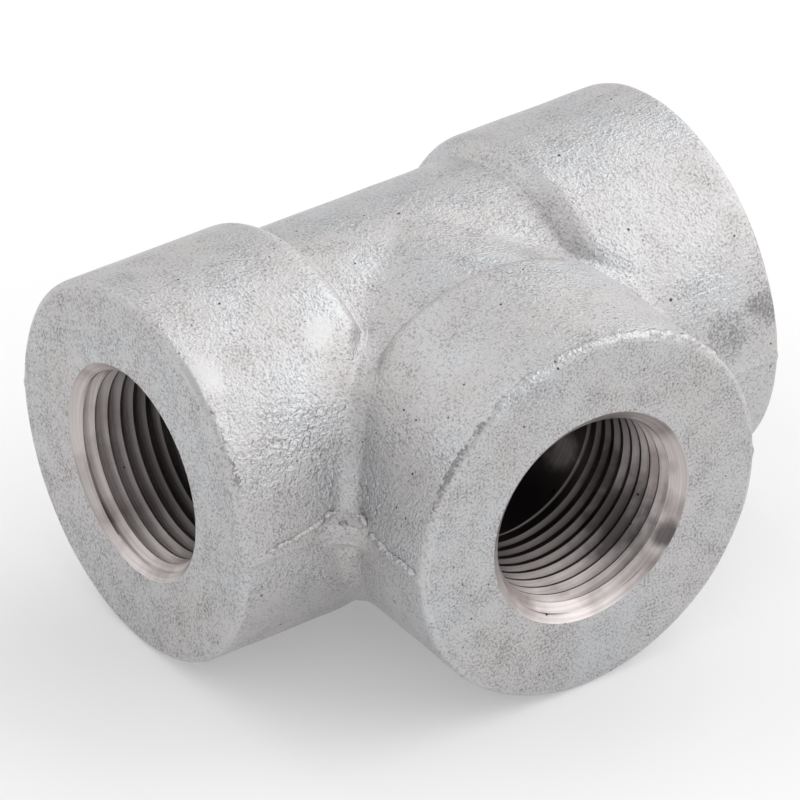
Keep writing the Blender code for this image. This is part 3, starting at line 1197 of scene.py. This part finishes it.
    def dress(self, tee: Object) -> None:
        """Gives the tee its finishes, in the order of its slots.

        Args:
            tee: the tee's object.
        """
        middle = tuple(self.crossing / MM)
        finishes = {
            Surface.SKIN: GalvanisedSteel(
                "galvanised_forged_skin",
                rippled=(
                    CoatSpot((-31.0, -13.3, 35.2), 8.0),
                    CoatSpot((12.4, 0.3, 43.8), 5.0),
                    CoatSpot((-24.0, -19.0, 30.0), 5.0),
                ),
                # The smooth spots carry a painted highlight.
                smooth_highlit=(CoatSpot((-36.2, -5.6, 43.3), 3.5), CoatSpot((-19.9, -5.7, 43.2), 3.0)),
                dull=(CoatSpot((36.5, -15.3, 30.5), 4.0), CoatSpot((30.5, -15.7, 28.8), 4.0)),
            ),
            Surface.END_FACE: GalvanisedSteel(
                "galvanised_faced_end",
                roughness=0.56,
                peel_mm=0.5,
                peel_height_mm=0.12,
                grain_height_mm=0.14,
                ash_share=0.42,
                pit_cell_mm=1.2,
            ),
            # The run's bores reach their darkest painted shade further out.
            Surface.RUN_BORE: MachinedSteel("bored_steel_run", 0, middle, shade_to_mm=31.0),
            Surface.BRANCH_BORE: MachinedSteel(
                "bored_steel_branch",
                1,
                middle,
                # Spots of painted shade on the right of the branch bore and its chamfer.
                shaded_spots=(
                    CoatSpot((9.0, -23.0, 16.0), 7.0),
                    CoatSpot((11.0, -18.0, 19.0), 4.5),
                    CoatSpot((10.9, -30.3, 16.6), 2.4),
                ),
                # A spot deep in the branch bore that the painted shade leaves out.
                unshaded_spots=(CoatSpot((10.4, -10.7, 17.7), 3.5),),
            ),
        }
        for surface in Surface:
            tee.data.materials.append(finishes[surface].build())


@dataclass(frozen=True)
class PhotoCamera:
    """The photograph's viewpoint, found by fitting the tee's outline to it.

    Attributes:
        azimuth: degrees round Z from straight in front of the branch.
        elevation: degrees above the floor.
        distance: from the aim to the camera.
        roll: degrees round the line of sight.
        lens_mm: focal length on a sensor 36 mm wide.
        aim: the middle of the picture, from the crossing of the axes.
    """

    azimuth: float = -34.683
    elevation: float = 33.719
    distance: float = 903.91 * MM
    roll: float = -0.2725
    lens_mm: float = 345.91
    aim: tuple[float, float, float] = (-1.371 * MM, -1.567 * MM, -3.1 * MM)

    def build(self, crossing: Vector) -> Object:
        """Adds the camera and makes it the scene's own.

        Args:
            crossing: where the axes of the tee cross.

        Returns:
            The camera.
        """
        back = direction(self.azimuth, self.elevation)
        data = bpy.data.cameras.new("photo_camera")
        data.lens = self.lens_mm
        data.sensor_width = SENSOR_MM
        data.clip_start = 0.01
        data.clip_end = 50.0
        camera = add_object("photo_camera", data)
        facing = back.to_track_quat("Z", "Y").to_matrix().to_4x4()
        rolled = Matrix.Rotation(math.radians(self.roll), 4, "Z")
        place = Matrix.Translation(crossing + Vector(self.aim) + self.distance * back)
        camera.matrix_world = place @ facing @ rolled
        bpy.context.scene.camera = camera
        return camera


@dataclass(frozen=True)
class SoftLamp:
    """A distant soft light.

    Attributes:
        name: the lamp's name.
        azimuth: degrees round Z that it stands at, from straight in front of the branch.
        elevation: degrees above the floor.
        strength: what it gives a surface that faces it.
        spread: its width in the sky, in degrees.
    """

    name: str
    azimuth: float
    elevation: float
    strength: float
    spread: float

    def build(self) -> Object:
        """Adds the lamp.

        Returns:
            The lamp.
        """
        back = direction(self.azimuth, self.elevation)
        data = bpy.data.lights.new(self.name, "SUN")
        data.energy = self.strength
        data.angle = math.radians(self.spread)
        lamp = add_object(self.name, data)
        lamp.matrix_world = back.to_track_quat("Z", "Y").to_matrix().to_4x4()
        return lamp


@dataclass(frozen=True)
class Studio:
    """A pale floor under plain soft light.

    Attributes:
        floor_size: width of the floor.
        floor_colour: its colour.
        glow: the share of plain white in it, which keeps the shadow as pale as in the photograph.
        sky_colour: colour of the light from all round.
        sky_strength: its strength.
        lamps: the lamps.
    """

    floor_size: float = 8.0
    floor_colour: str = "#FAFAFA"
    glow: float = 0.25
    sky_colour: str = "#FFFFFF"
    sky_strength: float = 0.68
    lamps: tuple[SoftLamp, ...] = (
        SoftLamp("right", 95.0, 35.0, 1.12, 70.0),
        SoftLamp("front_right", 35.0, 36.0, 0.52, 50.0),
        SoftLamp("back_left", -150.0, 40.0, 0.45, 60.0),
    )

    def build(self, ground: float) -> Object:
        """Adds the floor, the lamps and the light from all round.

        Args:
            ground: height of the floor.

        Returns:
            The floor.
        """
        world = bpy.data.worlds.new("studio")
        world.use_nodes = True
        sky = world.node_tree.nodes["Background"]
        sky.inputs["Color"].default_value = linear(self.sky_colour)
        sky.inputs["Strength"].default_value = self.sky_strength
        bpy.context.scene.world = world
        for lamp in self.lamps:
            lamp.build()
        mesh = bmesh.new()
        bmesh.ops.create_grid(mesh, x_segments=1, y_segments=1, size=self.floor_size / 2.0)
        bmesh.ops.translate(mesh, verts=mesh.verts, vec=(0.0, 0.0, ground))
        floor = finish_mesh("floor", mesh)
        material = bpy.data.materials.new("white_paper_floor")
        material.use_nodes = True
        tree = material.node_tree
        add = partial(add_node, tree)
        shader = tree.nodes["Principled BSDF"]
        shader.inputs["Base Color"].default_value = linear(self.floor_colour)
        shader.inputs["Roughness"].default_value = 0.9
        seen = add("LightPath", output="Is Camera Ray")
        rays = seen.node.outputs
        for name in ("Is Glossy Ray", "Is Transmission Ray"):
            seen = add("Math", {0: seen, 1: rays[name]}, operation="ADD", use_clamp=True)
        share = add("Math", {0: seen, 1: self.glow}, operation="MULTIPLY")
        white = add("Emission", {"Strength": 1.0})
        mixed = add("MixShader", {0: share, 1: shader.outputs["BSDF"], 2: white})
        tree.links.new(mixed, tree.nodes["Material Output"].inputs["Surface"])
        floor.data.materials.append(material)
        return floor


def main() -> None:
    """Builds the tee, its finishes, the studio and the camera."""
    logging.basicConfig(level=logging.INFO, format="%(message)s")
    low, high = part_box(NODE)
    body = TeeBody(low, high)
    tee = body.build()
    body.dress(tee)
    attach(tee, BODY)
    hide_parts(NODE)
    log.info("%s: %d faces", tee.name, len(tee.data.polygons))
    zinc = GalvanisedSteel("zinc_bead", roughness=0.4, ash_share=0.2).build()
    # Dross colours: dull grey dross, darker partly as painted shade along the face edges.
    shaded_dross = GalvanisedSteel("zinc_dross_and_shade", "#B5AFAE", "#ACAAAA", ash_share=0.6).build()
    for bead in body.beads():
        lump = bead.build(body.crossing, low, high)
        lump.data.materials.append(shaded_dross if bead.shaded_dross else zinc)
        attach(lump, BODY)
    floor = Studio().build(CAD_BOX[0][2])
    camera = PhotoCamera().build(body.crossing)
    log.info("%s and %s", floor.name, camera.name)
    bpy.context.scene.view_settings.view_transform = "Standard"


if __name__ == "__main__":
    main()
